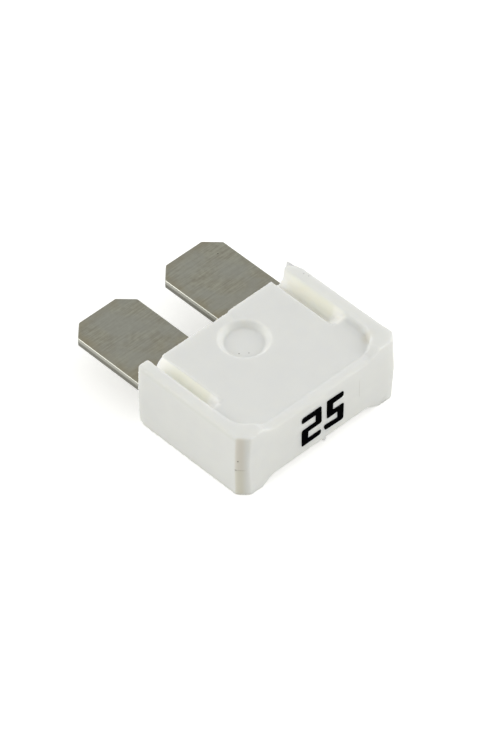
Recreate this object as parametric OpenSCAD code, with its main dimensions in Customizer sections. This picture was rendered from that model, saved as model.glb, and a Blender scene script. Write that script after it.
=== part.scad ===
// Automotive blade fuse: a moulded housing with a stamped fuse element staked inside it.
// It lies on one wide face. The blades point along +Y and the rating end faces -Y.
// The origin is under the middle of the whole fuse, on the surface it lies on.

/* [Blades] */
// Width of each blade
blade_w = 6.3; // [5.2:0.1:6.8]
// Thickness of the metal strip
blade_t = 0.8; // [0.6:0.05:1]
// Distance between the centre lines of the two blades
blade_pitch = 9.2; // [8.8:0.1:10.5]
// Length of blade outside the housing
blade_out = 8.5; // [6:0.1:11]
// Length of full-width blade inside the housing
blade_seat = 6.2; // [5:0.1:7]
// Corner cut at each blade tip
tip_cut = 1.2; // [0.6:0.1:1.8]

/* [Fusible link] */
// Width of the arched link between the blades
link_w = 1.1; // [0.7:0.1:1.6]
// Thickness of the link, milled down from the strip
link_t = 0.4; // [0.25:0.05:0.6]
// Sideways step from each blade's inner edge to the link
link_step = 0.15; // [0.1:0.05:0.4]
// Space between the top of the arch and the end wall
link_gap = 0.5; // [0.3:0.1:0.9]
// Width of the neck that each blade narrows to inside
neck_w = 4.5; // [3.5:0.1:4.8]

/* [Housing] */
// Length of the housing along the blades
body_l = 11.5; // [10.5:0.1:14]
// Thickness of the housing at its side walls
body_t = 6.2; // [5:0.1:7.5]
// Plastic beside each blade's outer edge, at mid thickness
edge_cover = 0.6; // [0.45:0.05:1.2]
// Depth of the slot in each side wall that the blade edge sits in
edge_seat = 0.55; // [0.3:0.05:0.7]
// Lean of each side wall from mid thickness to the face
draft = 0.13; // [0.05:0.01:0.3]
// Corner cut at each side of the rating end
corner_cut = 0.75; // [0.5:0.05:1.3]
// Radius under each side wall's end, beside the blades
ear_r = 0.8; // [0.4:0.1:1.2]
// Clearance between the blades and the slots they sit in
fit_gap = 0.03; // [0.02:0.01:0.06]

/* [Face recess] */
// Depth of the panel on each face below the side walls
panel_drop = 0.6; // [0.4:0.05:0.8]
// Radius of the floor's two corners at the rating end
recess_r = 2.3; // [1:0.1:3]
// Lean of the recess walls, outwards over their height
recess_lean = 0.15; // [0.05:0.05:0.4]

/* [End lip] */
// Thickness of the lip along the rating end, at the panel
lip_w = 0.75; // [0.5:0.05:1]
// Height of the lip above the panel
lip_h = 0.12; // [0.05:0.01:0.25]
// Radius along the lip's outer edge
lip_r = 0.35; // [0.1:0.05:0.45]
// Width of the low stretch of the end, between the corner feet
lip_span = 10.7; // [9:0.1:11.4]
// Slope at each end of the low stretch, sideways over its height
foot_lean = 0.8; // [0.4:0.1:1]

/* [Panel grooves] */
// Width of the groove between the panel and each side wall
groove_w = 1.2; // [0.9:0.1:1.5]
// Length of the groove along the panel's edge
groove_l = 6.75; // [5.5:0.05:7.5]
// Depth of the groove below the panel
groove_depth = 0.85; // [0.5:0.05:1]
// Radius in the two corners of the groove's floor
groove_r = 0.3; // [0.1:0.05:0.4]
// Length of the ramp at the closed end of the groove
groove_ramp = 1.1; // [0.6:0.1:1.5]
// Width of the bevel along the panel's edge
bevel_w = 0.35; // [0.1:0.05:0.5]
// Drop of that bevel
bevel_drop = 0.2; // [0.05:0.05:0.3]

/* [Stake mark] */
// Diameter of the round stake mark at the panel's surface
stake_d = 4.1; // [3.6:0.1:4.8]
// Diameter of its floor
stake_floor_d = 3.2; // [2.6:0.1:3.4]
// Depth of the stake mark
stake_depth = 0.5; // [0.2:0.05:0.6]
// Distance from the blade end to the middle of the mark
stake_in = 3.1; // [2.5:0.1:3.6]
// Gap round the staked post that passes between the blades
post_gap = 0.1; // [0.05:0.05:0.3]

/* [Pocket] */
// Thickness of the end wall behind the rating
end_wall = 1.3; // [1:0.1:2]
// Height of the pocket that the element slides into
pocket_h = 2.4; // [1.8:0.1:2.8]
// Width of the pocket round the link
pocket_w = 12.2; // [11.6:0.1:12.8]

/* [Hidden] */
$fn = 64;
over = 1;
post_root = 0.1;

blade_in_x = (blade_pitch - blade_w) / 2;
blade_out_x = (blade_pitch + blade_w) / 2;
body_w = 2 * (blade_out_x + edge_cover);
wall_in_x = blade_out_x - edge_seat;
panel_x = wall_in_x - groove_w;

total_l = body_l + blade_out;
end_y = -total_l / 2;
mouth_y = end_y + body_l;
tip_y = total_l / 2;
shoulder_y = mouth_y - blade_seat;
stake_y = mouth_y - stake_in;
mid_z = body_t / 2;
panel_z = body_t - panel_drop;
groove_z = panel_z - groove_depth;
corner_reach = (body_w / 2 - end_y - corner_cut) * cos(45);

link_in_r = blade_in_x + link_step;
link_out_r = link_in_r + link_w;
link_y = end_y + end_wall + link_gap + link_out_r;

// Solid of a section drawn in X and Z, from y0 to y1
module along_y(y0, y1) {
    translate([0, y1, 0]) rotate([90, 0, 0]) linear_extrude(y1 - y0) children();
}

// Solid of a section drawn in Y and Z, reaching x1 to each side
module along_x(x1) {
    rotate([90, 0, 90]) linear_extrude(2 * x1, center = true) children();
}

module on_both_faces() {
    children();
    translate([0, 0, body_t]) mirror([0, 0, 1]) children();
}

module on_both_sides() {
    children();
    mirror([1, 0, 0]) children();
}

// Slab along Y whose sides, x_mid out at the parting line, lean in towards both faces
module drafted_slab(x_mid, y0, y1) {
    x_face = x_mid - draft;
    along_y(y0, y1)
        polygon([[-x_face, 0], [x_face, 0], [x_mid, mid_z], [x_face, body_t],
                 [-x_face, body_t], [-x_mid, mid_z]]);
}

// Drafted side walls, with the two cut corners of the rating end
module drafted_block() {
    intersection() {
        drafted_slab(body_w / 2, end_y, mouth_y);
        rotate([0, 0, 45]) drafted_slab(corner_reach, -body_w, body_w);
        rotate([0, 0, -45]) drafted_slab(corner_reach, -body_w, body_w);
    }
}

// Side view, rounded under the blade end
module side_outline() {
    along_x(body_w / 2) union() {
        translate([end_y, ear_r]) square([body_l, body_t - ear_r]);
        translate([end_y, 0]) square([body_l - ear_r, body_t]);
        translate([mouth_y - ear_r, ear_r]) circle(ear_r);
    }
}

// Shallow recess with leaning walls and round corners, open at the blade end
module face_recess() {
    top = recess_lean * (panel_drop + over) / panel_drop;
    x = wall_in_x - recess_lean;
    y = end_y + lip_w;
    h = panel_drop + over;
    translate([0, 0, panel_z]) {
        along_y(y + recess_r, mouth_y + over)
            polygon([[-x, 0], [x, 0], [x + top, h], [-x - top, h]]);
        along_x(x - recess_r)
            polygon([[y, 0], [mouth_y, 0], [mouth_y, h], [y - top, h]]);
        for (side = [-1, 1])
            translate([side * (x - recess_r), y + recess_r])
                cylinder(h = h, r1 = recess_r, r2 = recess_r + top);
    }
}

// Low stretch of the rating end, which leaves a lip, round outside, and two corner feet
module end_step() {
    z = panel_z + lip_h;
    h = body_t - z;
    slope = foot_lean / h;
    x_top = lip_span / 2 + slope * (h + over);
    x_low = lip_span / 2 - slope * lip_r;
    reach = lip_w + recess_r;
    translate([0, 0, z]) intersection() {
        along_y(end_y - over, end_y + reach)
            polygon([[-x_low, -lip_r], [x_low, -lip_r], [x_top, h + over], [-x_top, h + over]]);
        along_x(x_top) difference() {
            translate([end_y - over, -lip_r]) square([over + reach, lip_r + h + over]);
            translate([end_y + lip_r, -lip_r]) circle(lip_r);
            translate([end_y + lip_r, -lip_r]) square([reach, lip_r]);
        }
    }
}

// Section of the groove beside the panel, round in the corners of its floor
module groove_section() {
    h = body_t + over - groove_z;
    translate([panel_x, groove_z]) {
        translate([0, groove_r]) square([groove_w, h - groove_r]);
        translate([groove_r, 0]) square([groove_w - 2 * groove_r, h]);
        for (x = [groove_r, groove_w - groove_r]) translate([x, groove_r]) circle(groove_r);
    }
    polygon([[panel_x - bevel_w, panel_z], [panel_x, panel_z - bevel_drop],
             [panel_x + groove_r, panel_z - bevel_drop], [panel_x + groove_r, body_t + over],
             [panel_x - bevel_w, body_t + over]]);
}

// Groove open at the blade end, with a ramp at its closed end
module panel_groove() {
    rise = body_t + over - groove_z;
    run = groove_ramp * rise / groove_depth;
    y = mouth_y - groove_l + groove_ramp;
    intersection() {
        along_y(end_y, mouth_y + over) groove_section();
        along_x(body_w / 2)
            polygon([[y, groove_z], [mouth_y + over, groove_z], [mouth_y + over, body_t + over],
                     [y - run, body_t + over]]);
    }
}

module stake_mark() {
    slope = (stake_d - stake_floor_d) / 2 / stake_depth;
    translate([0, stake_y, panel_z - stake_depth])
        cylinder(h = stake_depth + over, d1 = stake_floor_d, d2 = stake_d + 2 * slope * over);
}

// Pocket for the element, with a slot in each side wall for the blade's edge
module pocket() {
    seat_y = shoulder_y - fit_gap;
    slot_h = blade_t + 2 * fit_gap;
    translate([-pocket_w / 2, end_y + end_wall, mid_z - pocket_h / 2])
        cube([pocket_w, body_l - end_wall + over, pocket_h]);
    translate([-wall_in_x, seat_y, mid_z - pocket_h / 2])
        cube([2 * wall_in_x, mouth_y - seat_y + over, pocket_h]);
    translate([-blade_out_x - fit_gap, seat_y, mid_z - slot_h / 2])
        cube([2 * (blade_out_x + fit_gap), mouth_y - seat_y + over, slot_h]);
}

// Plastic staked together between the blades
module stake_post() {
    translate([0, stake_y, mid_z])
        cylinder(h = pocket_h + 2 * post_root, r = blade_in_x - post_gap, center = true);
}

module housing() {
    color([0.86, 0.86, 0.84]) union() {
        difference() {
            intersection() {
                drafted_block();
                side_outline();
            }
            on_both_faces() {
                face_recess();
                end_step();
                on_both_sides() panel_groove();
                stake_mark();
            }
            pocket();
        }
        stake_post();
    }
}

// One blade, with its cut tip, the shoulder it is pushed home by and its neck
module blade() {
    translate([0, 0, mid_z - blade_t / 2]) linear_extrude(blade_t) {
        polygon([[blade_in_x, shoulder_y], [blade_out_x, shoulder_y], [blade_out_x, tip_y - tip_cut],
                 [blade_out_x - tip_cut, tip_y], [blade_in_x + tip_cut, tip_y],
                 [blade_in_x, tip_y - tip_cut]]);
        translate([blade_in_x, min(link_y, shoulder_y)])
            square([neck_w, max(shoulder_y - link_y, 0) + over]);
    }
}

// Thin half ring from one neck to the other
module fusible_link() {
    translate([0, link_y, mid_z - link_t / 2]) linear_extrude(link_t) difference() {
        union() {
            circle(link_out_r);
            translate([-link_out_r, 0]) square([2 * link_out_r, link_w / 2]);
        }
        circle(link_in_r);
        translate([-link_in_r, 0]) square([2 * link_in_r, link_out_r]);
        translate([-link_out_r - over, link_w / 2]) square([2 * (link_out_r + over), link_out_r]);
    }
}

module fuse_element() {
    color([0.5, 0.5, 0.46]) union() {
        on_both_sides() blade();
        fusible_link();
    }
}

housing();
fuse_element();
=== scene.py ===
# Automotive blade fuse on a pale floor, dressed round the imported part
import math

import bmesh
import bpy
from mathutils import Euler, Matrix, Vector


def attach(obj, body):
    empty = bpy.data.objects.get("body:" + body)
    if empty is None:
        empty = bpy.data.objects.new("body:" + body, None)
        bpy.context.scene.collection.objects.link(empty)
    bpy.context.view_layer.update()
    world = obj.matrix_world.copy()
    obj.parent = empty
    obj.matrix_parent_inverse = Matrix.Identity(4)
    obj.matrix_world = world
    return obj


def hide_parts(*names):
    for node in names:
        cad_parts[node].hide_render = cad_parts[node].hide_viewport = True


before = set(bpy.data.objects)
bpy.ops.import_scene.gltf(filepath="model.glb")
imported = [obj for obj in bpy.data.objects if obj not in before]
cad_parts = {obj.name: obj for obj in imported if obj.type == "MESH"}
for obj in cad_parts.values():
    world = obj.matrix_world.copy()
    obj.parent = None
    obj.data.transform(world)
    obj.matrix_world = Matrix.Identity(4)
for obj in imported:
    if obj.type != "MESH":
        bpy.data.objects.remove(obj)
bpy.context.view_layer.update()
mm = 0.001
scene = bpy.context.scene
print("stage: frame loaded")


# sRGB hex to the linear colour that the shaders take
def linearColour(hexText):
    channels = [int(hexText[i:i + 2], 16) / 255 for i in (1, 3, 5)]
    linear = [c / 12.92 if c <= 0.04045 else ((c + 0.055) / 1.055) ** 2.4 for c in channels]
    return (*linear, 1.0)


# Adds one node; an input takes a value, a socket, or a node whose first live output is used
def addNode(tree, kind, inputs=None, **settings):
    node = tree.nodes.new("ShaderNode" + kind)
    for name, value in settings.items():
        setattr(node, name, value)
    for name, value in (inputs or {}).items():
        if isinstance(value, bpy.types.Node):
            value = next(output for output in value.outputs if output.enabled)
        if isinstance(value, bpy.types.NodeSocket):
            tree.links.new(value, node.inputs[name])
        else:
            node.inputs[name].default_value = value
    return node


def newMaterial(name):
    material = bpy.data.materials.new(name)
    material.use_nodes = True
    material.node_tree.nodes.clear()
    return material, material.node_tree


# Object coordinates divided by a pattern's size, so that noise of scale 1 fits it
def scaledPlace(tree, sizeMm):
    place = addNode(tree, "TexCoord").outputs["Object"]
    return addNode(tree, "Mapping", {
        "Vector": place, "Scale": tuple(1 / (size * mm) for size in sizeMm)})


# Product of soft steps; each is a value and the two places between which it rises to 1
def softMask(tree, steps):
    mask = 1.0
    for value, low, high in steps:
        rise = addNode(tree, "MapRange", {
            "Value": value, "From Min": low * mm, "From Max": high * mm},
            interpolation_type="SMOOTHSTEP")
        mask = addNode(tree, "Math", {0: mask, 1: rise}, operation="MULTIPLY")
    return mask


# The two places that a soft step runs between, given from a size of the moulding
def stepFrom(size, offsets):
    return tuple(size + offset for offset in offsets)


# Natural polyamide 66, injection moulded in a spark-eroded mould: milky, so light bleeds
# through its edges, satin, and yellower where it is looked at through more of it. A pair in
# millimetres is where a tint starts and where it is full, from the size in its comment
polyamideLook = {
    "body": "#E7E8E4",
    "cool": "#E1E2E1",
    # painted light in the grooves, and brighter painted light at their ramps and mouths
    "groove": "#F2F2E9",
    "grooveEndLight": "#FAFAF3",
    # painted highlight on the ring round the stake mark
    "stakeHighlight": "#EBECE8",
    # painted shade for the left wall's outer edges
    "paintedEdgeShade": "#E0E1DD",
    # painted shade for the cut of the left corner, above and below the parting line
    "stripShadeHigh": "#DFDCD4",
    "stripShadeLow": "#DDDBD0",
    "line": "#A39D8C",
    # painted shade for the recess's right corner
    "stain": "#CDBF92",
    "speck": "#5B5347",
    "ior": 1.53,
    "roughness": (0.5, 0.58),
    "specular": 0.3,    # the spark texture breaks up part of the gloss
    "subsurface": 1.0,
    "subsurfaceMm": 0.6,
    "subsurfaceReach": (1.0, 0.97, 0.9),  # red, green and blue
    "cloudMm": 1.6,     # flow clouds from filling the mould
    "sparkMm": 0.16,    # spark texture, drawn coarser than its real 0.02 mm so that it shows
    "sparkDepthMm": 0.004,
    "grooveWallMm": (0.05, -0.1),       # from wallX
    "grooveRunMm": (-0.4, 0.2),         # from grooveY
    "grooveFloorMm": (0.1, 0.2),        # from panelX
    "underEdgeMm": (-0.3, -0.22),       # from panelX, on the wall under the panel's edge
    "underEdgeDropMm": (-0.03, -0.13),  # from the panel's height
    "rampMm": (1.4, 1.0),               # from grooveY, where a ramp closes the groove
    "mouthFadeMm": (-2.5, 0.0),         # from mouthY
    "stakeHighlightMm": (1.5, 1.65, 2.0, 2.25),  # ring of painted highlight round the stake mark
    "stakeHighlightWay": (0.719, -0.695, 0.0),   # most on its two sides, towards the side lamps
    "stakeHighlightSideMm": (0.7, 1.6),       # from the mark's middle, that way
    "edgeShadeMm": (-0.45, -0.15),         # from sideX
    "edgeShadeUpMm": (2.5, 2.8),           # from the middle plane
    "stripEdgeMm": (-0.1, -0.02),       # from the plane of the corner's cut
    "stripFade": (-2.25, -1.5),  # the strip's painted shade fades towards the rating end
    "partingFadeMm": (-0.05, 0.05),     # from partingZ
    "cornerShadeAt": (6.85, -8.25, 5.60, 0.9),  # painted shade in the recess's right corner by the rating end, yellowish
    "cornerShadeShare": 0.2,
    # dark grit in the surface; each spot is a place and a radius in millimetres
    "specks": ((-1.10, -2.14, 5.10, 0.07), (-0.50, -2.60, 5.10, 0.06),
               (-8.20, -9.38, 3.80, 0.09)),
    "speckShare": 0.9,
    "pits": ((7.10, 0.69, 6.15, 0.08), (7.78, -0.10, 6.18, 0.08),
             (7.87, -0.56, 6.18, 0.08), (-8.33, -9.25, 2.86, 0.14)),
    "pitShare": 0.4,
    "spotCore": 0.3,    # share of a spot's radius inside which it is full
    "lineMm": 0.06,
    "lineCoreMm": 0.01,
    "lineDepthMm": 0.02,
    "seamShare": 0.28,
    "insertShare": 0.18,
    "insertDeepMm": (0.2, 0.1),         # from endY
    "insertFootMm": (-0.8, -0.4),       # from the middle plane
    "insertHeadMm": (1.4, 0.9),         # from the middle plane
}


# The coordinates that the tints of the moulding are placed by
def mouldPlaces(tree, sizes):
    place = addNode(tree, "TexCoord").outputs["Object"]
    parts = addNode(tree, "SeparateXYZ", {"Vector": place})
    x = parts.outputs["X"]
    z = parts.outputs["Z"]
    fromMiddle = addNode(tree, "Math", {0: z, 1: sizes["middleZ"] * mm},
                         operation="SUBTRACT")
    return {
        "place": place,
        "x": x,
        "y": parts.outputs["Y"],
        "z": z,
        "side": addNode(tree, "Math", {0: x}, operation="ABSOLUTE"),
        "leftward": addNode(tree, "Math", {0: x, 1: -1.0}, operation="MULTIPLY"),
        "height": addNode(tree, "Math", {0: fromMiddle}, operation="ABSOLUTE"),
    }


# Painted light: the grooves and the panel's side face under its edge are coloured brighter and
# yellower than the body, standing in for the light that comes through the thin walls; the
# ramps that close them and their open mouths are coloured brighter still, for the light that
# falls in there
def paintGrooveLight(tree, at, sizes, colour):
    look = polyamideLook
    panelHeight = sizes["panelZ"] - sizes["middleZ"]
    alongGroove = softMask(tree, (
        (at["side"], *stepFrom(sizes["wallX"], look["grooveWallMm"])),
        (at["y"], *stepFrom(sizes["grooveY"], look["grooveRunMm"]))))
    overFloor = softMask(tree, (
        (at["side"], *stepFrom(sizes["panelX"], look["grooveFloorMm"])),))
    belowEdge = softMask(tree, (
        (at["side"], *stepFrom(sizes["panelX"], look["underEdgeMm"])),
        (at["height"], *stepFrom(panelHeight, look["underEdgeDropMm"]))))
    either = addNode(tree, "Math", {0: overFloor, 1: belowEdge}, operation="MAXIMUM")
    inGroove = addNode(tree, "Math", {0: either, 1: alongGroove}, operation="MULTIPLY")
    onRamp = softMask(tree, ((at["y"], *stepFrom(sizes["grooveY"], look["rampMm"])),))
    atMouth = softMask(tree, ((at["y"], *stepFrom(sizes["mouthY"], look["mouthFadeMm"])),))
    atEnd = addNode(tree, "Math", {0: onRamp, 1: atMouth}, operation="MAXIMUM")
    tint = addNode(tree, "Mix", {
        0: atEnd, 6: linearColour(look["groove"]), 7: linearColour(look["grooveEndLight"])},
        data_type="RGBA")
    return addNode(tree, "Mix", {0: inGroove, 6: colour, 7: tint}, data_type="RGBA")


# Painted highlight: a paler ring round the stake mark, strongest on its two sides, towards the
# side lamps
def paintStakeHighlight(tree, at, sizes, colour):
    look = polyamideLook
    stake = (0.0, sizes["stakeY"] * mm, 0.0)
    flat = addNode(tree, "VectorMath", {0: at["place"], 1: (1.0, 1.0, 0.0)},
                   operation="MULTIPLY")
    fromStake = addNode(tree, "VectorMath", {0: flat, 1: stake},
                        operation="DISTANCE").outputs["Value"]
    offset = addNode(tree, "VectorMath", {0: flat, 1: stake}, operation="SUBTRACT")
    sideways = addNode(tree, "VectorMath", {0: offset, 1: look["stakeHighlightWay"]},
                       operation="DOT_PRODUCT").outputs["Value"]
    sideways = addNode(tree, "Math", {0: sideways}, operation="ABSOLUTE")
    inLow, inHigh, outHigh, outLow = look["stakeHighlightMm"]
    stakeHighlight = softMask(tree, ((fromStake, inLow, inHigh), (fromStake, outLow, outHigh),
                               (sideways, *look["stakeHighlightSideMm"])))
    return addNode(tree, "Mix", {
        0: stakeHighlight, 6: colour, 7: linearColour(look["stakeHighlight"])}, data_type="RGBA")


# Painted shade: the outer edges of the left wall, top and bottom, are coloured a little darker
# than the rest, to take back the extra light that their rounding catches
def shadeLeftEdges(tree, at, sizes, colour):
    look = polyamideLook
    paintedEdgeShade = softMask(tree, (
        (at["leftward"], *stepFrom(sizes["sideX"], look["edgeShadeMm"])),
        (at["height"], *look["edgeShadeUpMm"])))
    return addNode(tree, "Mix", {
        0: paintedEdgeShade, 6: colour, 7: linearColour(look["paintedEdgeShade"])}, data_type="RGBA")


# Painted shade: the cut of the left corner faces the camera, from where little light comes, so
# it is coloured darker and yellower than the body, and darker still below the parting line;
# its mask is needed again for the seam
def shadeCornerStrip(tree, at, sizes, colour):
    look = polyamideLook
    # how far outside the plane of the cut a point lies; the plane leans with the draft
    lean = addNode(tree, "Math", {
        0: at["height"], 1: sizes["draft"] / sizes["middleZ"],
        2: -sizes["cornerReach"] * mm}, operation="MULTIPLY_ADD")
    across = addNode(tree, "Math", {0: at["leftward"], 1: at["y"]}, operation="SUBTRACT")
    outside = addNode(tree, "Math", {0: across, 1: math.sqrt(0.5), 2: lean},
                      operation="MULTIPLY_ADD")
    along = addNode(tree, "Math", {0: at["leftward"], 1: at["y"]}, operation="ADD")
    onStrip = softMask(tree, ((outside, *look["stripEdgeMm"]), (along, *look["stripFade"])))
    overParting = softMask(tree, (
        (at["z"], *stepFrom(sizes["partingZ"], look["partingFadeMm"])),))
    strip = addNode(tree, "Mix", {
        0: overParting, 6: linearColour(look["stripShadeLow"]), 7: linearColour(look["stripShadeHigh"])},
        data_type="RGBA")
    colour = addNode(tree, "Mix", {0: onStrip, 6: colour, 7: strip}, data_type="RGBA")
    return colour, onStrip


# Painted shade in the recess's right corner, yellowish, and the dark grit moulded in, each at
# its own spot
def addSpots(tree, at, colour):
    look = polyamideLook
    # the stain colour here is painted shade in the recess's corner
    spots = [(*look["cornerShadeAt"], look["cornerShadeShare"], "stain")]
    spots += [(*pit, look["pitShare"], "speck") for pit in look["pits"]]
    spots += [(*speck, look["speckShare"], "speck") for speck in look["specks"]]
    for x, y, z, radius, share, tint in spots:
        reach = addNode(tree, "VectorMath", {0: at["place"], 1: (x * mm, y * mm, z * mm)},
                        operation="DISTANCE").outputs["Value"]
        spot = softMask(tree, ((reach, radius, radius * look["spotCore"]),))
        spot = addNode(tree, "Math", {0: spot, 1: share}, operation="MULTIPLY")
        colour = addNode(tree, "Mix", {0: spot, 6: colour, 7: linearColour(look[tint])},
                         data_type="RGBA")
    return colour


# Parting line of the mould round the middle, and the edge of its rating insert: where they
# stand proud, and how dirty they are
def mouldLines(tree, at, sizes, onStrip):
    look = polyamideLook
    toParting = addNode(tree, "Math", {
        0: at["z"], 1: sizes["partingZ"] * mm, 2: look["lineMm"] * mm},
        operation="COMPARE")
    fromInsert = addNode(tree, "Math", {0: at["x"], 1: sizes["insertX"] * mm},
                         operation="SUBTRACT")
    toInsert = addNode(tree, "Math", {0: fromInsert}, operation="ABSOLUTE")
    insert = softMask(tree, (
        (toInsert, look["lineMm"], look["lineCoreMm"]),
        (at["y"], *stepFrom(sizes["endY"], look["insertDeepMm"])),
        (at["z"], *stepFrom(sizes["middleZ"], look["insertFootMm"])),
        (at["z"], *stepFrom(sizes["middleZ"], look["insertHeadMm"]))))
    seam = addNode(tree, "Math", {0: toParting, 1: onStrip}, operation="MULTIPLY")
    seam = addNode(tree, "Math", {0: seam, 1: look["seamShare"]}, operation="MULTIPLY")
    dirt = addNode(tree, "Math", {0: insert, 1: look["insertShare"], 2: seam},
                   operation="MULTIPLY_ADD")
    lines = addNode(tree, "Math", {0: toParting, 1: insert}, operation="MAXIMUM")
    return lines, dirt


def mouldedPolyamide(sizes):
    look = polyamideLook
    material, tree = newMaterial("mouldedPolyamide")
    at = mouldPlaces(tree, sizes)
    cloud = addNode(tree, "TexNoise", {
        "Vector": scaledPlace(tree, (look["cloudMm"],) * 3), "Scale": 1.0, "Detail": 3.0})
    spark = addNode(tree, "TexNoise", {
        "Vector": scaledPlace(tree, (look["sparkMm"],) * 3), "Scale": 1.0, "Detail": 2.0})
    colour = addNode(tree, "Mix", {
        0: cloud, 6: linearColour(look["body"]), 7: linearColour(look["cool"])},
        data_type="RGBA")
    colour = paintGrooveLight(tree, at, sizes, colour)
    colour = paintStakeHighlight(tree, at, sizes, colour)
    colour = shadeLeftEdges(tree, at, sizes, colour)
    colour, onStrip = shadeCornerStrip(tree, at, sizes, colour)
    colour = addSpots(tree, at, colour)
    lines, dirt = mouldLines(tree, at, sizes, onStrip)
    colour = addNode(tree, "Mix", {0: dirt, 6: colour, 7: linearColour(look["line"])},
                     data_type="RGBA")
    relief = addNode(tree, "Math", {
        0: spark, 1: look["sparkDepthMm"] / look["lineDepthMm"], 2: lines},
        operation="MULTIPLY_ADD")
    bump = addNode(tree, "Bump", {
        "Height": relief, "Distance": look["lineDepthMm"] * mm, "Strength": 1.0})
    rough = addNode(tree, "MapRange", {
        "Value": cloud, "To Min": look["roughness"][0], "To Max": look["roughness"][1]})
    shader = addNode(tree, "BsdfPrincipled", {
        "Base Color": colour, "Roughness": rough, "Normal": bump, "IOR": look["ior"],
        "Specular IOR Level": look["specular"],
        "Subsurface Weight": look["subsurface"],
        "Subsurface Radius": look["subsurfaceReach"],
        "Subsurface Scale": look["subsurfaceMm"] * mm})
    addNode(tree, "OutputMaterial", {"Surface": shader})
    return material


# Zinc alloy strip, cold rolled: dull olive grey. The strip is fed sideways through the
# stamping press, so its roll lines run across the blades
zincLook = {
    "face": "#949486",
    "dark": "#7F7C6F",
    "cool": "#8C8D85",
    "brown": "#857F6C",
    "speck": "#4A4740",
    "sheared": "#ABABA2",
    "shearedDark": "#9A9990",
    "torn": "#77766D",
    "roughness": (0.36, 0.5),
    "shearedRoughness": (0.3, 0.5),
    "tornZ": (3.3, 3.05),          # the punch shears the top half, then the strip tears
    "rollLineMm": (2.6, 0.15, 0.5),
    "lineWander": 0.4,
    "mottleMm": 0.4,
    "mottleShare": 0.6,
    "streakSpan": (0.62, 0.96),    # of lines and mottle together, from dark to face
    "stainMm": 2.2,
    "coolSpan": (0.58, 0.38),      # of the stain's noise
    "coolMost": 0.6,
    "brownSpan": (0.4, 0.65),      # of the same noise
    "brownShare": (0.25, 0.9),
    "scoreMm": (0.09, 0.09, 1.2),  # fracture scores through the thickness
    "scoreDepthMm": 0.006,
    "lineDepthMm": 0.004,
    "reliefStrength": 0.6,
    "speckAt": (6.48, 8.12, 3.50, 0.08),  # place and radius in millimetres
    "speckCore": 0.4,
    "brownFromY": (5.5, 1.4),      # handling stain grows towards the housing
    "brownTipY": (9.1, 9.9),       # and along the tip and the left edge of each blade
    "brownEdgeX": (-2.2, -3.0),    # from the middle of its blade
    "bladeX": 4.6,
}


def rolledZinc():
    look = zincLook
    material, tree = newMaterial("rolledZinc")
    place = addNode(tree, "TexCoord").outputs["Object"]
    parts = addNode(tree, "SeparateXYZ", {"Vector": place})
    y = parts.outputs["Y"]
    lines = addNode(tree, "TexNoise", {
        "Vector": scaledPlace(tree, look["rollLineMm"]), "Scale": 1.0, "Detail": 3.0,
        "Roughness": 0.6, "Distortion": look["lineWander"]})
    mottle = addNode(tree, "TexNoise", {
        "Vector": scaledPlace(tree, (look["mottleMm"],) * 3), "Scale": 1.0, "Detail": 4.0,
        "Roughness": 0.65})
    stain = addNode(tree, "TexNoise", {
        "Vector": scaledPlace(tree, (look["stainMm"],) * 3), "Scale": 1.0, "Detail": 3.0})
    both = addNode(tree, "Math", {0: mottle, 1: look["mottleShare"], 2: lines},
                   operation="MULTIPLY_ADD")
    streak = addNode(tree, "MapRange", {
        "Value": both, "From Min": look["streakSpan"][0], "From Max": look["streakSpan"][1]})
    colour = addNode(tree, "Mix", {
        0: streak, 6: linearColour(look["dark"]), 7: linearColour(look["face"])},
        data_type="RGBA")
    coolPatch = addNode(tree, "MapRange", {
        "Value": stain, "From Min": look["coolSpan"][0], "From Max": look["coolSpan"][1],
        "To Max": look["coolMost"]})
    colour = addNode(tree, "Mix", {0: coolPatch, 6: colour, 7: linearColour(look["cool"])},
                     data_type="RGBA")
    nearHousing = softMask(tree, ((y, *look["brownFromY"]),))
    patch = addNode(tree, "MapRange", {
        "Value": stain, "From Min": look["brownSpan"][0], "From Max": look["brownSpan"][1],
        "To Min": look["brownShare"][0], "To Max": look["brownShare"][1]})
    nearTip = softMask(tree, ((y, *look["brownTipY"]),))
    sign = addNode(tree, "Math", {0: parts.outputs["X"]}, operation="SIGN")
    middle = addNode(tree, "Math", {0: sign, 1: look["bladeX"] * mm}, operation="MULTIPLY")
    across = addNode(tree, "Math", {0: parts.outputs["X"], 1: middle}, operation="SUBTRACT")
    nearEdge = softMask(tree, ((across, *look["brownEdgeX"]),))
    stained = addNode(tree, "Math", {0: nearTip, 1: nearEdge}, operation="MAXIMUM")
    stained = addNode(tree, "Math", {0: stained, 1: nearHousing}, operation="MAXIMUM")
    brown = addNode(tree, "Math", {0: stained, 1: patch}, operation="MULTIPLY")
    colour = addNode(tree, "Mix", {0: brown, 6: colour, 7: linearColour(look["brown"])},
                     data_type="RGBA")
    x, spotY, z, radius = look["speckAt"]
    reach = addNode(tree, "VectorMath", {0: place, 1: (x * mm, spotY * mm, z * mm)},
                    operation="DISTANCE").outputs["Value"]
    spot = softMask(tree, ((reach, radius, radius * look["speckCore"]),))
    colour = addNode(tree, "Mix", {0: spot, 6: colour, 7: linearColour(look["speck"])},
                     data_type="RGBA")
    bump = addNode(tree, "Bump", {
        "Height": both, "Distance": look["lineDepthMm"] * mm,
        "Strength": look["reliefStrength"]})
    rough = addNode(tree, "MapRange", {
        "Value": lines, "To Min": look["roughness"][0], "To Max": look["roughness"][1]})
    shader = addNode(tree, "BsdfPrincipled", {
        "Base Color": colour, "Roughness": rough, "Normal": bump, "Metallic": 1.0})
    addNode(tree, "OutputMaterial", {"Surface": shader})
    return material


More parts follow.
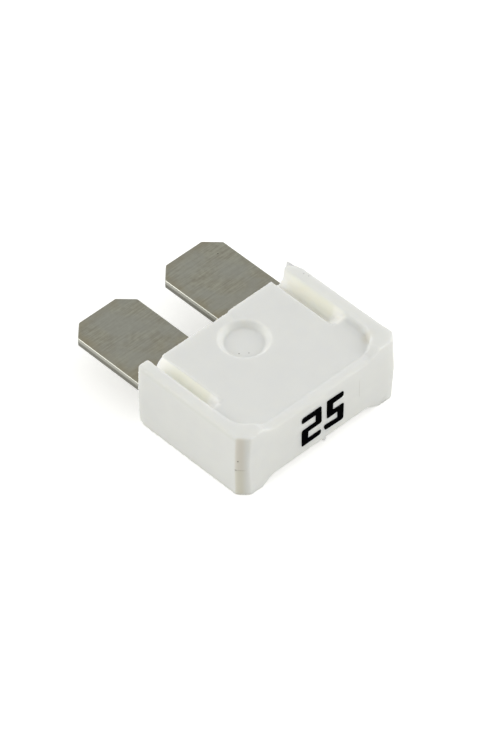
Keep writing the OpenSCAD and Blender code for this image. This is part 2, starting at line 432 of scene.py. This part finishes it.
# The same strip where the press sheared it: brighter, scored through its thickness
def shearedZinc():
    look = zincLook
    material, tree = newMaterial("shearedZinc")
    scores = addNode(tree, "TexNoise", {
        "Vector": scaledPlace(tree, look["scoreMm"]), "Scale": 1.0, "Detail": 3.0})
    colour = addNode(tree, "Mix", {
        0: scores, 6: linearColour(look["shearedDark"]), 7: linearColour(look["sheared"])},
        data_type="RGBA")
    height = addNode(tree, "SeparateXYZ", {
        "Vector": addNode(tree, "TexCoord").outputs["Object"]}).outputs["Z"]
    torn = softMask(tree, ((height, *look["tornZ"]),))
    colour = addNode(tree, "Mix", {0: torn, 6: colour, 7: linearColour(look["torn"])},
                     data_type="RGBA")
    rough = addNode(tree, "MapRange", {
        "Value": torn, "To Min": look["shearedRoughness"][0],
        "To Max": look["shearedRoughness"][1]})
    bump = addNode(tree, "Bump", {
        "Height": scores, "Distance": look["scoreDepthMm"] * mm,
        "Strength": look["reliefStrength"]})
    shader = addNode(tree, "BsdfPrincipled", {
        "Base Color": colour, "Roughness": rough, "Normal": bump, "Metallic": 1.0})
    addNode(tree, "OutputMaterial", {"Surface": shader})
    return material


# Pad-printed ink, dry and matt, a little uneven where the pad lifted
inkLook = {
    "thick": "#030304",
    "thin": "#09090A",
    "patchMm": 0.3,
    "depthMm": 0.003,
    "roughness": 0.7,
    "ior": 1.4,
    "specular": 0.0,
}


def padPrintInk():
    look = inkLook
    material, tree = newMaterial("padPrintInk")
    patchy = addNode(tree, "TexNoise", {
        "Vector": scaledPlace(tree, (look["patchMm"],) * 3), "Scale": 1.0, "Detail": 3.0})
    colour = addNode(tree, "Mix", {
        0: patchy, 6: linearColour(look["thick"]), 7: linearColour(look["thin"])},
        data_type="RGBA")
    bump = addNode(tree, "Bump", {
        "Height": patchy, "Distance": look["depthMm"] * mm, "Strength": 0.5})
    shader = addNode(tree, "BsdfPrincipled", {
        "Base Color": colour, "Roughness": look["roughness"], "Normal": bump,
        "IOR": look["ior"], "Specular IOR Level": look["specular"]})
    addNode(tree, "OutputMaterial", {"Surface": shader})
    return material


# 1 for the rays that show the backdrop: the camera's, and those in metal and glass
def backdropRay(tree):
    path = addNode(tree, "LightPath")
    seen = addNode(tree, "Math", {0: path.outputs["Is Glossy Ray"],
                                  1: path.outputs["Is Transmission Ray"]},
                   operation="MAXIMUM")
    return addNode(tree, "Math", {0: path.outputs["Is Camera Ray"], 1: seen},
                   operation="MAXIMUM")


# Mat white paper, lifted to white for those rays, with the shadow kept
paperLook = {
    "light": "#F5F5F3",
    "dark": "#F3F3F1",
    "fibreMm": 0.8,
    "lift": 0.42,
}


def matPaper():
    look = paperLook
    material, tree = newMaterial("matPaper")
    fibre = addNode(tree, "TexNoise", {
        "Vector": scaledPlace(tree, (look["fibreMm"],) * 3), "Scale": 1.0, "Detail": 2.0})
    colour = addNode(tree, "Mix", {
        0: fibre, 6: linearColour(look["light"]), 7: linearColour(look["dark"])},
        data_type="RGBA")
    lift = addNode(tree, "Math", {0: backdropRay(tree), 1: look["lift"]},
                   operation="MULTIPLY")
    paper = addNode(tree, "BsdfDiffuse", {"Color": colour})
    glow = addNode(tree, "Emission", {"Strength": lift})
    both = addNode(tree, "AddShader", {0: paper, 1: glow})
    addNode(tree, "OutputMaterial", {"Surface": both})
    return material


# A new object whose mesh starts as a CAD node's, in millimetres
def copyOfNode(nodeName, pieceName):
    weldMm = 1e-4  # joins points that lie on each other
    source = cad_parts[nodeName]
    shape = bmesh.new()
    shape.from_mesh(source.data)
    bmesh.ops.transform(shape, matrix=Matrix.Scale(1 / mm, 4) @ source.matrix_world,
                        verts=shape.verts)
    bmesh.ops.remove_doubles(shape, verts=shape.verts, dist=weldMm)
    mesh = bpy.data.meshes.new(pieceName)
    shape.to_mesh(mesh)
    shape.free()
    piece = bpy.data.objects.new(pieceName, mesh)
    scene.collection.objects.link(piece)
    return piece


# Puts the modifiers into the mesh, which stays in millimetres
def settle(piece):
    graph = bpy.context.evaluated_depsgraph_get()
    mesh = bpy.data.meshes.new_from_object(piece.evaluated_get(graph))
    piece.modifiers.clear()
    piece.data = mesh
    return mesh


# Rides the body, takes its materials, and reports its triangles
def dress(piece, materials):
    piece.data.materials.clear()
    for material in materials:
        piece.data.materials.append(material)
    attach(piece, "root")
    piece.data.calc_loop_triangles()
    print("stage:", piece.name, len(piece.data.loop_triangles), "triangles")


# Rises from 0 at low to 1 at high, softly
def easeBetween(value, low, high):
    t = min(max((value - low) / (high - low), 0.0), 1.0)
    return t * t * (3 - 2 * t)


# A pair is where a change starts and where it is full. Its comment names the size that it
# is measured from, and without one it is a place in x, y or z
housingShape = {
    "voxelMm": 0.1,      # remesh step, fine enough for the lip
    "turn": (0.41, 0.53, 0.37),  # the grid stands askew, so no face steps along it
    "softenFactor": 0.5,
    "softenSteps": 4,    # rounds the moulded edges by about 0.1 mm
    "wallSteps": 22,     # and more than that along the tops of the side walls
    "keepShare": 0.55,   # of the triangles, most of which lie on flat faces
    "inkRoomMm": 0.015,  # the rating end sits back by this, under the ink
    # where the side walls' tops, the end's corners and the walls' tips are softened more
    "softWallX": (6.6, 7.0),
    "softWallY": (1.3, 0.7),
    "softWallUpMm": (1.9, 2.4),      # from the middle plane
    "softUnderside": 0.3,            # share that the walls' lower edges get
    "softCornerX": (6.6, 7.4),
    "softCornerY": (-8.6, -9.2),
    "softCornerShare": 0.5,
    "softTipX": (7.0, 7.4),
    "softTipY": (0.6, 1.1),
    "softTipShare": 0.3,
    # the panel's edge is squared up where its bevel starts, and stands further in
    "bevelWideMm": 0.35,
    "bevelDropMm": 0.2,
    "edgeInMm": 0.18,
    "edgePastMm": 0.1,               # past panelX
    "edgeUpMm": (-0.75, -0.2),       # from the panel's height
    "edgeOverMm": (-0.1, 0.0),       # down from the panel's height
    "grooveStartMm": (0.0, 0.5),     # from grooveY
    # the walls of the grooves lean, and the feet of the inner and outer one come closer
    "footInMm": (0.2, 0.23),         # the inner wall's and the outer wall's
    "footLiftMm": 0.07,
    "footEdgeMm": 0.05,
    "footUpMm": (2.4, 1.7),          # from the middle plane
    "outerTallMm": 1.45,             # height over which the outer wall leans
    "grooveInnerMm": (-0.25, -0.1),  # from panelX
    "grooveOuterMm": (0.35, 0.15),   # from wallX
    "grooveUpMm": (1.2, 1.5),        # from the middle plane
    # the panel's open edge has a short shot in its middle, and a sink runs to the stake mark
    "panelSkinMm": (-0.35, -0.05),   # from panelZ
    "panelOverMm": (0.3, 0.1),       # from panelZ
    "dipMm": 0.12,
    "dipLeftX": (-0.75, -0.45),
    "dipRightX": (1.35, 0.95),
    "dipDeepMm": (-0.5, -0.1),       # from mouthY
    "sinkMm": 0.03,
    "sinkX": 1.0,
    "sinkHalfMm": (0.45, 0.0),       # from sinkX, to both sides
    "sinkY": (0.1, 0.6),
    # the panel's left corner there is rubbed off
    "trimMm": 0.33,
    "trimPastMm": 0.05,              # past panelX
    "trimToX": -4.5,
    # the right corner is cut less than the left one, and the right wall's outer top edge
    # is low at its tip
    "cutStretch": 0.12,              # share by which the run before the cut is lengthened
    "cutRunMm": 1.0,
    "tipDropMm": 0.3,
    "tipDropX": (7.5, 8.2),
    "tipDropY": (0.3, 1.4),
    "tipDropZ": (5.3, 6.1),
}


# How much more than the rest a point of the moulding is softened
def edgeSoftness(point, sizes):
    spec = housingShape
    side = abs(point.x)
    height = abs(point.z - sizes["middleZ"])
    walls = (easeBetween(side, *spec["softWallX"])
             * easeBetween(height, *spec["softWallUpMm"])
             * (1.0 if point.z > sizes["middleZ"] else spec["softUnderside"])
             * easeBetween(point.y, *spec["softWallY"]))
    corners = (easeBetween(side, *spec["softCornerX"])
               * easeBetween(point.y, *spec["softCornerY"]))
    tips = easeBetween(side, *spec["softTipX"]) * easeBetween(point.y, *spec["softTipY"])
    return max(walls, spec["softCornerShare"] * corners, spec["softTipShare"] * tips)


# Squares the panel's edge up where its bevel starts, and pulls it in
def squareEdge(x, y, z, height, sizes):
    spec = housingShape
    wide = spec["bevelWideMm"]
    panelX = sizes["panelX"]
    panelHeight = sizes["panelZ"] - sizes["middleZ"]
    if panelX - wide < abs(x) < panelX + spec["edgePastMm"] and y > sizes["grooveY"]:
        share = (min((abs(x) - panelX + wide) / wide, 1.0)
                 * easeBetween(height, *stepFrom(panelHeight, spec["edgeUpMm"]))
                 * easeBetween(y, *stepFrom(sizes["grooveY"], spec["grooveStartMm"]))
                 * easeBetween(panelHeight - height, *spec["edgeOverMm"]))
        z += math.copysign(spec["bevelDropMm"] * share, z - sizes["middleZ"])
        x -= math.copysign(spec["edgeInMm"] * share, x)
    return x, z


# Leans the walls of the grooves, so that their feet come closer together
def leanGroove(x, y, z, height, sizes):
    spec = housingShape
    side = abs(x)
    inGroove = (easeBetween(y, *stepFrom(sizes["grooveY"], spec["grooveStartMm"]))
                * easeBetween(side, *stepFrom(sizes["panelX"], spec["grooveInnerMm"]))
                * easeBetween(side, *stepFrom(sizes["wallX"], spec["grooveOuterMm"]))
                * easeBetween(height, *spec["grooveUpMm"]))
    if inGroove > 0:
        middleX = (sizes["panelX"] + sizes["wallX"]) / 2
        inner = easeBetween(side, middleX, sizes["panelX"] + spec["footEdgeMm"])
        outer = easeBetween(side, middleX, sizes["wallX"] - spec["footEdgeMm"])
        innerFoot, outerFoot = spec["footInMm"]
        low = easeBetween(height, *spec["footUpMm"]) * inGroove
        sunk = min(max((sizes["middleZ"] - height) / spec["outerTallMm"], 0.0), 1.0)
        rise = sunk * inGroove
        x += math.copysign(1.0, x) * (innerFoot * inner * low - outerFoot * outer * rise)
        z += math.copysign(spec["footLiftMm"] * (inner + outer) * low, z - sizes["middleZ"])
    return x, z


# Wears the panel's open edge: its dip, the sink behind it and its left corner
def wearMouth(x, y, z, sizes):
    spec = housingShape
    top = easeBetween(z, *stepFrom(sizes["panelZ"], spec["panelSkinMm"]))
    onPanel = top * easeBetween(z, *stepFrom(sizes["panelZ"], spec["panelOverMm"]))
    dip = easeBetween(x, *spec["dipLeftX"]) * easeBetween(x, *spec["dipRightX"])
    y -= (spec["dipMm"] * dip * onPanel
          * easeBetween(y, *stepFrom(sizes["mouthY"], spec["dipDeepMm"])))
    sink = (easeBetween(abs(x - spec["sinkX"]), *spec["sinkHalfMm"])
            * easeBetween(y, *spec["sinkY"]))
    z -= spec["sinkMm"] * sink * onPanel
    trim = (y - x - sizes["panelX"] - sizes["mouthY"] + spec["trimMm"]) / 2
    if trim > 0 and -sizes["panelX"] - spec["trimPastMm"] < x < spec["trimToX"]:
        depth = trim * top
        x += depth
        y -= depth
    return x, y, z


# Cuts the right corner less than the left one, and drops the tip of the right wall
def wearRight(x, y, z, height, sizes):
    spec = housingShape
    reach = (x - y) * math.sqrt(0.5)
    start = sizes["cornerReach"] - spec["cutRunMm"]
    if reach > start:
        push = (reach - start) * spec["cutStretch"] * math.sqrt(0.5)
        side = sizes["sideX"] - sizes["draft"] * height / sizes["middleZ"]
        x = min(x + push, max(side, x))
        y -= push
    z -= (spec["tipDropMm"] * easeBetween(x, *spec["tipDropX"])
          * easeBetween(y, *spec["tipDropY"]) * easeBetween(z, *spec["tipDropZ"]))
    return x, y, z


# Where a point of the plain moulding lies on the real, slightly worn one
def mouldedPoint(point, sizes):
    x, y, z = point
    height = abs(z - sizes["middleZ"])
    x, z = squareEdge(x, y, z, height, sizes)
    x, z = leanGroove(x, y, z, height, sizes)
    x, y, z = wearMouth(x, y, z, sizes)
    x, y, z = wearRight(x, y, z, height, sizes)
    return Vector((x, max(y, sizes["endY"] + housingShape["inkRoomMm"]), z))


def makeHousing(sizes, material):
    spec = housingShape
    piece = copyOfNode("housing", "housingShell")
    turn = Euler(spec["turn"]).to_matrix().to_4x4()
    piece.data.transform(turn)
    remesh = piece.modifiers.new("remesh", "REMESH")
    remesh.mode = "VOXEL"
    remesh.voxel_size = spec["voxelMm"]
    soften = piece.modifiers.new("soften", "SMOOTH")
    soften.factor = spec["softenFactor"]
    soften.iterations = spec["softenSteps"]
    mesh = settle(piece)
    mesh.transform(turn.inverted())
    group = piece.vertex_groups.new(name="softEdges")
    for vertex in mesh.vertices:
        group.add([vertex.index], edgeSoftness(vertex.co, sizes), "REPLACE")
    worn = piece.modifiers.new("softEdges", "SMOOTH")
    worn.factor = spec["softenFactor"]
    worn.iterations = spec["wallSteps"]
    worn.vertex_group = "softEdges"
    mesh = settle(piece)
    piece.vertex_groups.clear()
    for vertex in mesh.vertices:
        vertex.co = mouldedPoint(vertex.co, sizes)
    thin = piece.modifiers.new("thin", "DECIMATE")
    thin.ratio = spec["keepShare"]
    mesh = settle(piece)
    mesh.transform(Matrix.Scale(mm, 4))
    mesh.shade_smooth()
    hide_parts("housing")
    dress(piece, [material])


elementShape = {
    "edgeMm": 0.1,   # die roll along the stamped edges
    "edgeSteps": 3,
    "edgeAngle": 30.0,   # rounded where two faces turn by more than this
    "sharpAngle": 32.0,  # and shaded sharp where they turn by more than this
    "flatShare": 0.9,    # a face that points up or down by this much is a rolled one; the bright line along the edges is the bevel's reflection, and the lighter sheared colour on the die roll's steeper faces is painted highlight on top of it
}


def makeElement(faceMaterial, edgeMaterial):
    spec = elementShape
    piece = copyOfNode("fuse_element", "stampedElement")
    bevel = piece.modifiers.new("dieRoll", "BEVEL")
    bevel.width = spec["edgeMm"]
    bevel.segments = spec["edgeSteps"]
    bevel.limit_method = "ANGLE"
    bevel.angle_limit = math.radians(spec["edgeAngle"])
    bevel.use_clamp_overlap = False
    mesh = settle(piece)
    mesh.transform(Matrix.Scale(mm, 4))
    mesh.shade_smooth()
    mesh.set_sharp_from_angle(angle=math.radians(spec["sharpAngle"]))
    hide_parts("fuse_element")
    dress(piece, [faceMaterial, edgeMaterial])
    # the die roll's steeper faces take the lighter sheared colour, a painted highlight on the
    # bright edge line
    for face in mesh.polygons:
        face.material_index = 1 if abs(face.normal.z) < spec["flatShare"] else 0


# Plain rating digits. Each corner is right and up from the middle of the end face, in
# millimetres, with the radius that the ink took there
digitShape = {
    "two": [(-1.97, 1.35, 0.2), (0.06, 1.35, 0.2), (0.10, -0.40, 0.18),
            (-1.32, -0.42, 0.08), (-1.34, -1.14, 0.08), (0.03, -1.14, 0.15),
            (0.03, -1.60, 0.2), (-1.97, -1.64, 0.18), (-1.97, 0.05, 0.18),
            (-0.50, 0.05, 0.08), (-0.50, 0.80, 0.08), (-1.97, 0.80, 0.2)],
    "five": [(0.68, 1.38, 0.05), (2.42, 1.33, 0.2), (2.42, 0.80, 0.2), (1.30, 0.78, 0.08),
             (1.30, 0.06, 0.08), (2.45, 0.03, 0.18), (2.42, -1.64, 0.2),
             (0.50, -1.55, 0.2), (0.36, -1.00, 0.2), (1.82, -1.14, 0.08),
             (1.82, -0.45, 0.08), (0.70, -0.47, 0.18)],
    "shiftMm": (-0.1, -0.02),
    "spreadMm": 0.028,  # the ink runs out this far past the plate's outline
    "frontInMm": 0.003,
    "inkMm": 0.012,
    "arcSteps": 6,
}


# Replaces each corner of an outline by a short arc
def roundCorners(corners, steps):
    most = 0.48  # of a side's length, so that two arcs never meet
    points = [Vector(corner[:2]) for corner in corners]
    rounded = []
    for i, corner in enumerate(points):
        back = points[i - 1] - corner
        ahead = points[(i + 1) % len(points)] - corner
        reach = min(corners[i][2], back.length * most, ahead.length * most)
        start = corner + back.normalized() * reach
        end = corner + ahead.normalized() * reach
        for step in range(steps + 1):
            t = step / steps
            rounded.append((1 - t) ** 2 * start + 2 * t * (1 - t) * corner + t * t * end)
    return rounded


# Moves each point of a closed outline outwards, square to its neighbours
def spreadOutline(points, distance):
    area = sum(a.x * b.y - b.x * a.y for a, b in zip(points, points[1:] + points[:1]))
    turn = math.copysign(distance, area)
    spread = []
    for i, point in enumerate(points):
        along = (points[(i + 1) % len(points)] - points[i - 1]).normalized()
        spread.append(point + turn * Vector((along.y, -along.x)))
    return spread


# New piece from a bmesh in millimetres
def pieceFrom(shape, name):
    bmesh.ops.recalc_face_normals(shape, faces=shape.faces)
    bmesh.ops.scale(shape, vec=(mm, mm, mm), verts=shape.verts)
    mesh = bpy.data.meshes.new(name)
    shape.to_mesh(mesh)
    shape.free()
    piece = bpy.data.objects.new(name, mesh)
    scene.collection.objects.link(piece)
    return piece


def makeDigit(name, sizes, material):
    spec = digitShape
    frontY = sizes["endY"] + spec["frontInMm"]
    shape = bmesh.new()
    right, up = spec["shiftMm"]
    outline = roundCorners(spec[name], spec["arcSteps"])
    front = [shape.verts.new((p.x + right, frontY, sizes["middleZ"] + p.y + up))
             for p in spreadOutline(outline, spec["spreadMm"])]
    face = shape.faces.new(front)
    solid = bmesh.ops.extrude_face_region(shape, geom=[face])
    moved = [v for v in solid["geom"] if isinstance(v, bmesh.types.BMVert)]
    bmesh.ops.translate(shape, vec=(0, spec["inkMm"], 0), verts=moved)
    bmesh.ops.triangulate(shape, faces=shape.faces)
    piece = pieceFrom(shape, "ratingDigit_" + name)
    dress(piece, [material])


# Moulding leftovers: the gate's nub on the rating end, and flash at the right wall's tip
leftoverShape = {
    "nubAt": (0.44, -9.84, 0.46),
    "nubMm": (0.2, 0.15, 0.16),  # half its size each way
    "nubSteps": (24, 16),        # round it and from top to bottom
    # each ring is a place and a radius
    "flashPath": ((7.66, 1.20, 5.88, 0.42), (7.70, 1.42, 5.95, 0.36),
                  (7.76, 1.58, 6.03, 0.24), (7.80, 1.70, 6.10, 0.13),
                  (7.82, 1.80, 6.14, 0.03)),
    "flashFlat": 0.22,           # its thickness as a share of its width
    "flashSides": 12,
}


def makeNub(material):
    spec = leftoverShape
    shape = bmesh.new()
    around, down = spec["nubSteps"]
    bmesh.ops.create_uvsphere(shape, u_segments=around, v_segments=down, radius=1.0)
    bmesh.ops.scale(shape, vec=spec["nubMm"], verts=shape.verts)
    bmesh.ops.translate(shape, vec=spec["nubAt"], verts=shape.verts)
    piece = pieceFrom(shape, "gateNub")
    piece.data.shade_smooth()
    dress(piece, [material])


def makeFlash(material):
    spec = leftoverShape
    sides = spec["flashSides"]
    shape = bmesh.new()
    rings = []
    for x, y, z, radius in spec["flashPath"]:
        ring = []
        for step in range(sides):
            turn = math.tau * step / sides
            ring.append(shape.verts.new((x + radius * math.cos(turn), y,
                                         z + radius * spec["flashFlat"] * math.sin(turn))))
        rings.append(ring)
    for first, second in zip(rings, rings[1:]):
        for i in range(sides):
            shape.faces.new((first[i - 1], first[i], second[i], second[i - 1]))
    shape.faces.new(rings[0])
    shape.faces.new(rings[-1])
    piece = pieceFrom(shape, "mouldFlash")
    piece.data.shade_smooth()
    dress(piece, [material])


cameraView = {
    "azimuth": 44.0,
    "elevation": 45.25,
    "distanceMm": 381.3,
    "aimMm": (0.586, -1.595, 1.225),
    "lensMm": 238.2,
    "sensorMm": 36.0,  # for the picture's long side
    "nearMm": 10.0,    # what is nearer than this is clipped
}


# Unit vector from the object to a place seen at an azimuth and elevation
def wayTo(azimuth, elevation):
    turn = math.radians(azimuth)
    rise = math.radians(elevation)
    return Vector((-math.sin(turn) * math.cos(rise), -math.cos(turn) * math.cos(rise),
                   math.sin(rise)))


def placeCamera():
    spec = cameraView
    back = wayTo(spec["azimuth"], spec["elevation"])
    data = bpy.data.cameras.new("studioCamera")
    data.sensor_fit = "AUTO"
    data.sensor_width = spec["sensorMm"]
    data.lens = spec["lensMm"]
    data.clip_start = spec["nearMm"] * mm
    camera = bpy.data.objects.new("studioCamera", data)
    scene.collection.objects.link(camera)
    camera.location = (Vector(spec["aimMm"]) + back * spec["distanceMm"]) * mm
    camera.rotation_euler = (-back).to_track_quat("-Z", "Y").to_euler()
    scene.camera = camera


studioLight = {
    "domeMiddle": 0.61,
    "domeFrontDrop": 0.1,   # darker towards the camera, lighter behind the object
    "domeZenithLift": 0.04,
    "frontSpan": (-0.2, 1.0),  # where the back's tint turns to the front's
    "frontTint": "#F1EFE5",
    "backTint": "#FFFFFF",
    "sideWatts": 0.35,
    "sideAzimuths": (134.0, -46.0),  # left and right of the camera
    "sideElevation": 27.0,
    "distanceMm": 300.0,
    "sizeMm": 180.0,
}


def placeLights():
    spec = studioLight
    for azimuth in spec["sideAzimuths"]:
        way = wayTo(azimuth, spec["sideElevation"])
        data = bpy.data.lights.new("softbox", "AREA")
        data.size = spec["sizeMm"] * mm
        data.energy = spec["sideWatts"]
        lamp = bpy.data.objects.new("softbox", data)
        scene.collection.objects.link(lamp)
        lamp.location = way * spec["distanceMm"] * mm
        lamp.rotation_euler = (-way).to_track_quat("-Z", "Y").to_euler()
    world = bpy.data.worlds.new("paperTent")
    world.use_nodes = True
    tree = world.node_tree
    tree.nodes.clear()
    way = addNode(tree, "TexCoord").outputs["Generated"]
    front = addNode(tree, "VectorMath", {0: way, 1: wayTo(cameraView["azimuth"], 0.0)},
                    operation="DOT_PRODUCT").outputs["Value"]
    up = addNode(tree, "SeparateXYZ", {"Vector": way}).outputs["Z"]
    level = addNode(tree, "Math", {
        0: front, 1: -spec["domeFrontDrop"], 2: spec["domeMiddle"]}, operation="MULTIPLY_ADD")
    level = addNode(tree, "Math", {0: up, 1: spec["domeZenithLift"], 2: level},
                    operation="MULTIPLY_ADD")
    warmth = addNode(tree, "MapRange", {
        "Value": front, "From Min": spec["frontSpan"][0], "From Max": spec["frontSpan"][1]})
    tint = addNode(tree, "Mix", {
        0: warmth, 6: linearColour(spec["backTint"]), 7: linearColour(spec["frontTint"])},
        data_type="RGBA")
    dome = addNode(tree, "Background", {"Color": tint, "Strength": level})
    backdrop = addNode(tree, "Background", {"Color": (1.0, 1.0, 1.0, 1.0), "Strength": 1.0})
    both = addNode(tree, "MixShader", {0: backdropRay(tree), 1: dome, 2: backdrop})
    addNode(tree, "OutputWorld", {"Surface": both})
    scene.world = world


def makeFloor(material):
    half = 1.0  # metres, far past the picture's edges
    mesh = bpy.data.meshes.new("paperFloor")
    mesh.from_pydata([(-half, -half, 0), (half, -half, 0), (half, half, 0), (-half, half, 0)],
                     [], [(0, 1, 2, 3)])
    mesh.materials.append(material)
    floor = bpy.data.objects.new("paperFloor", mesh)
    scene.collection.objects.link(floor)


placeCamera()
placeLights()
makeFloor(matPaper())
print("stage: camera, lights and floor")

# Sizes of the moulding in millimetres, as the CAD has them. The last two are marks of the
# mould, read off the picture
mouldSizes = {
    "endY": -10.0,
    "mouthY": 1.5,
    "sideX": 8.35,
    "middleZ": 3.1,
    "panelZ": 5.6,
    "panelX": 6.0,
    "wallX": 7.2,
    "grooveY": -5.25,
    "stakeY": -1.6,
    "draft": 0.13,
    "cornerReach": 12.445,  # from the middle axis to the cut of a corner
    "partingZ": 2.86,
    "insertX": 4.05,
}
polyamide = mouldedPolyamide(mouldSizes)
ink = padPrintInk()
makeHousing(mouldSizes, polyamide)
makeElement(rolledZinc(), shearedZinc())
for digit in ("two", "five"):
    makeDigit(digit, mouldSizes, ink)
makeNub(polyamide)
makeFlash(polyamide)

scene.view_settings.view_transform = "Standard"
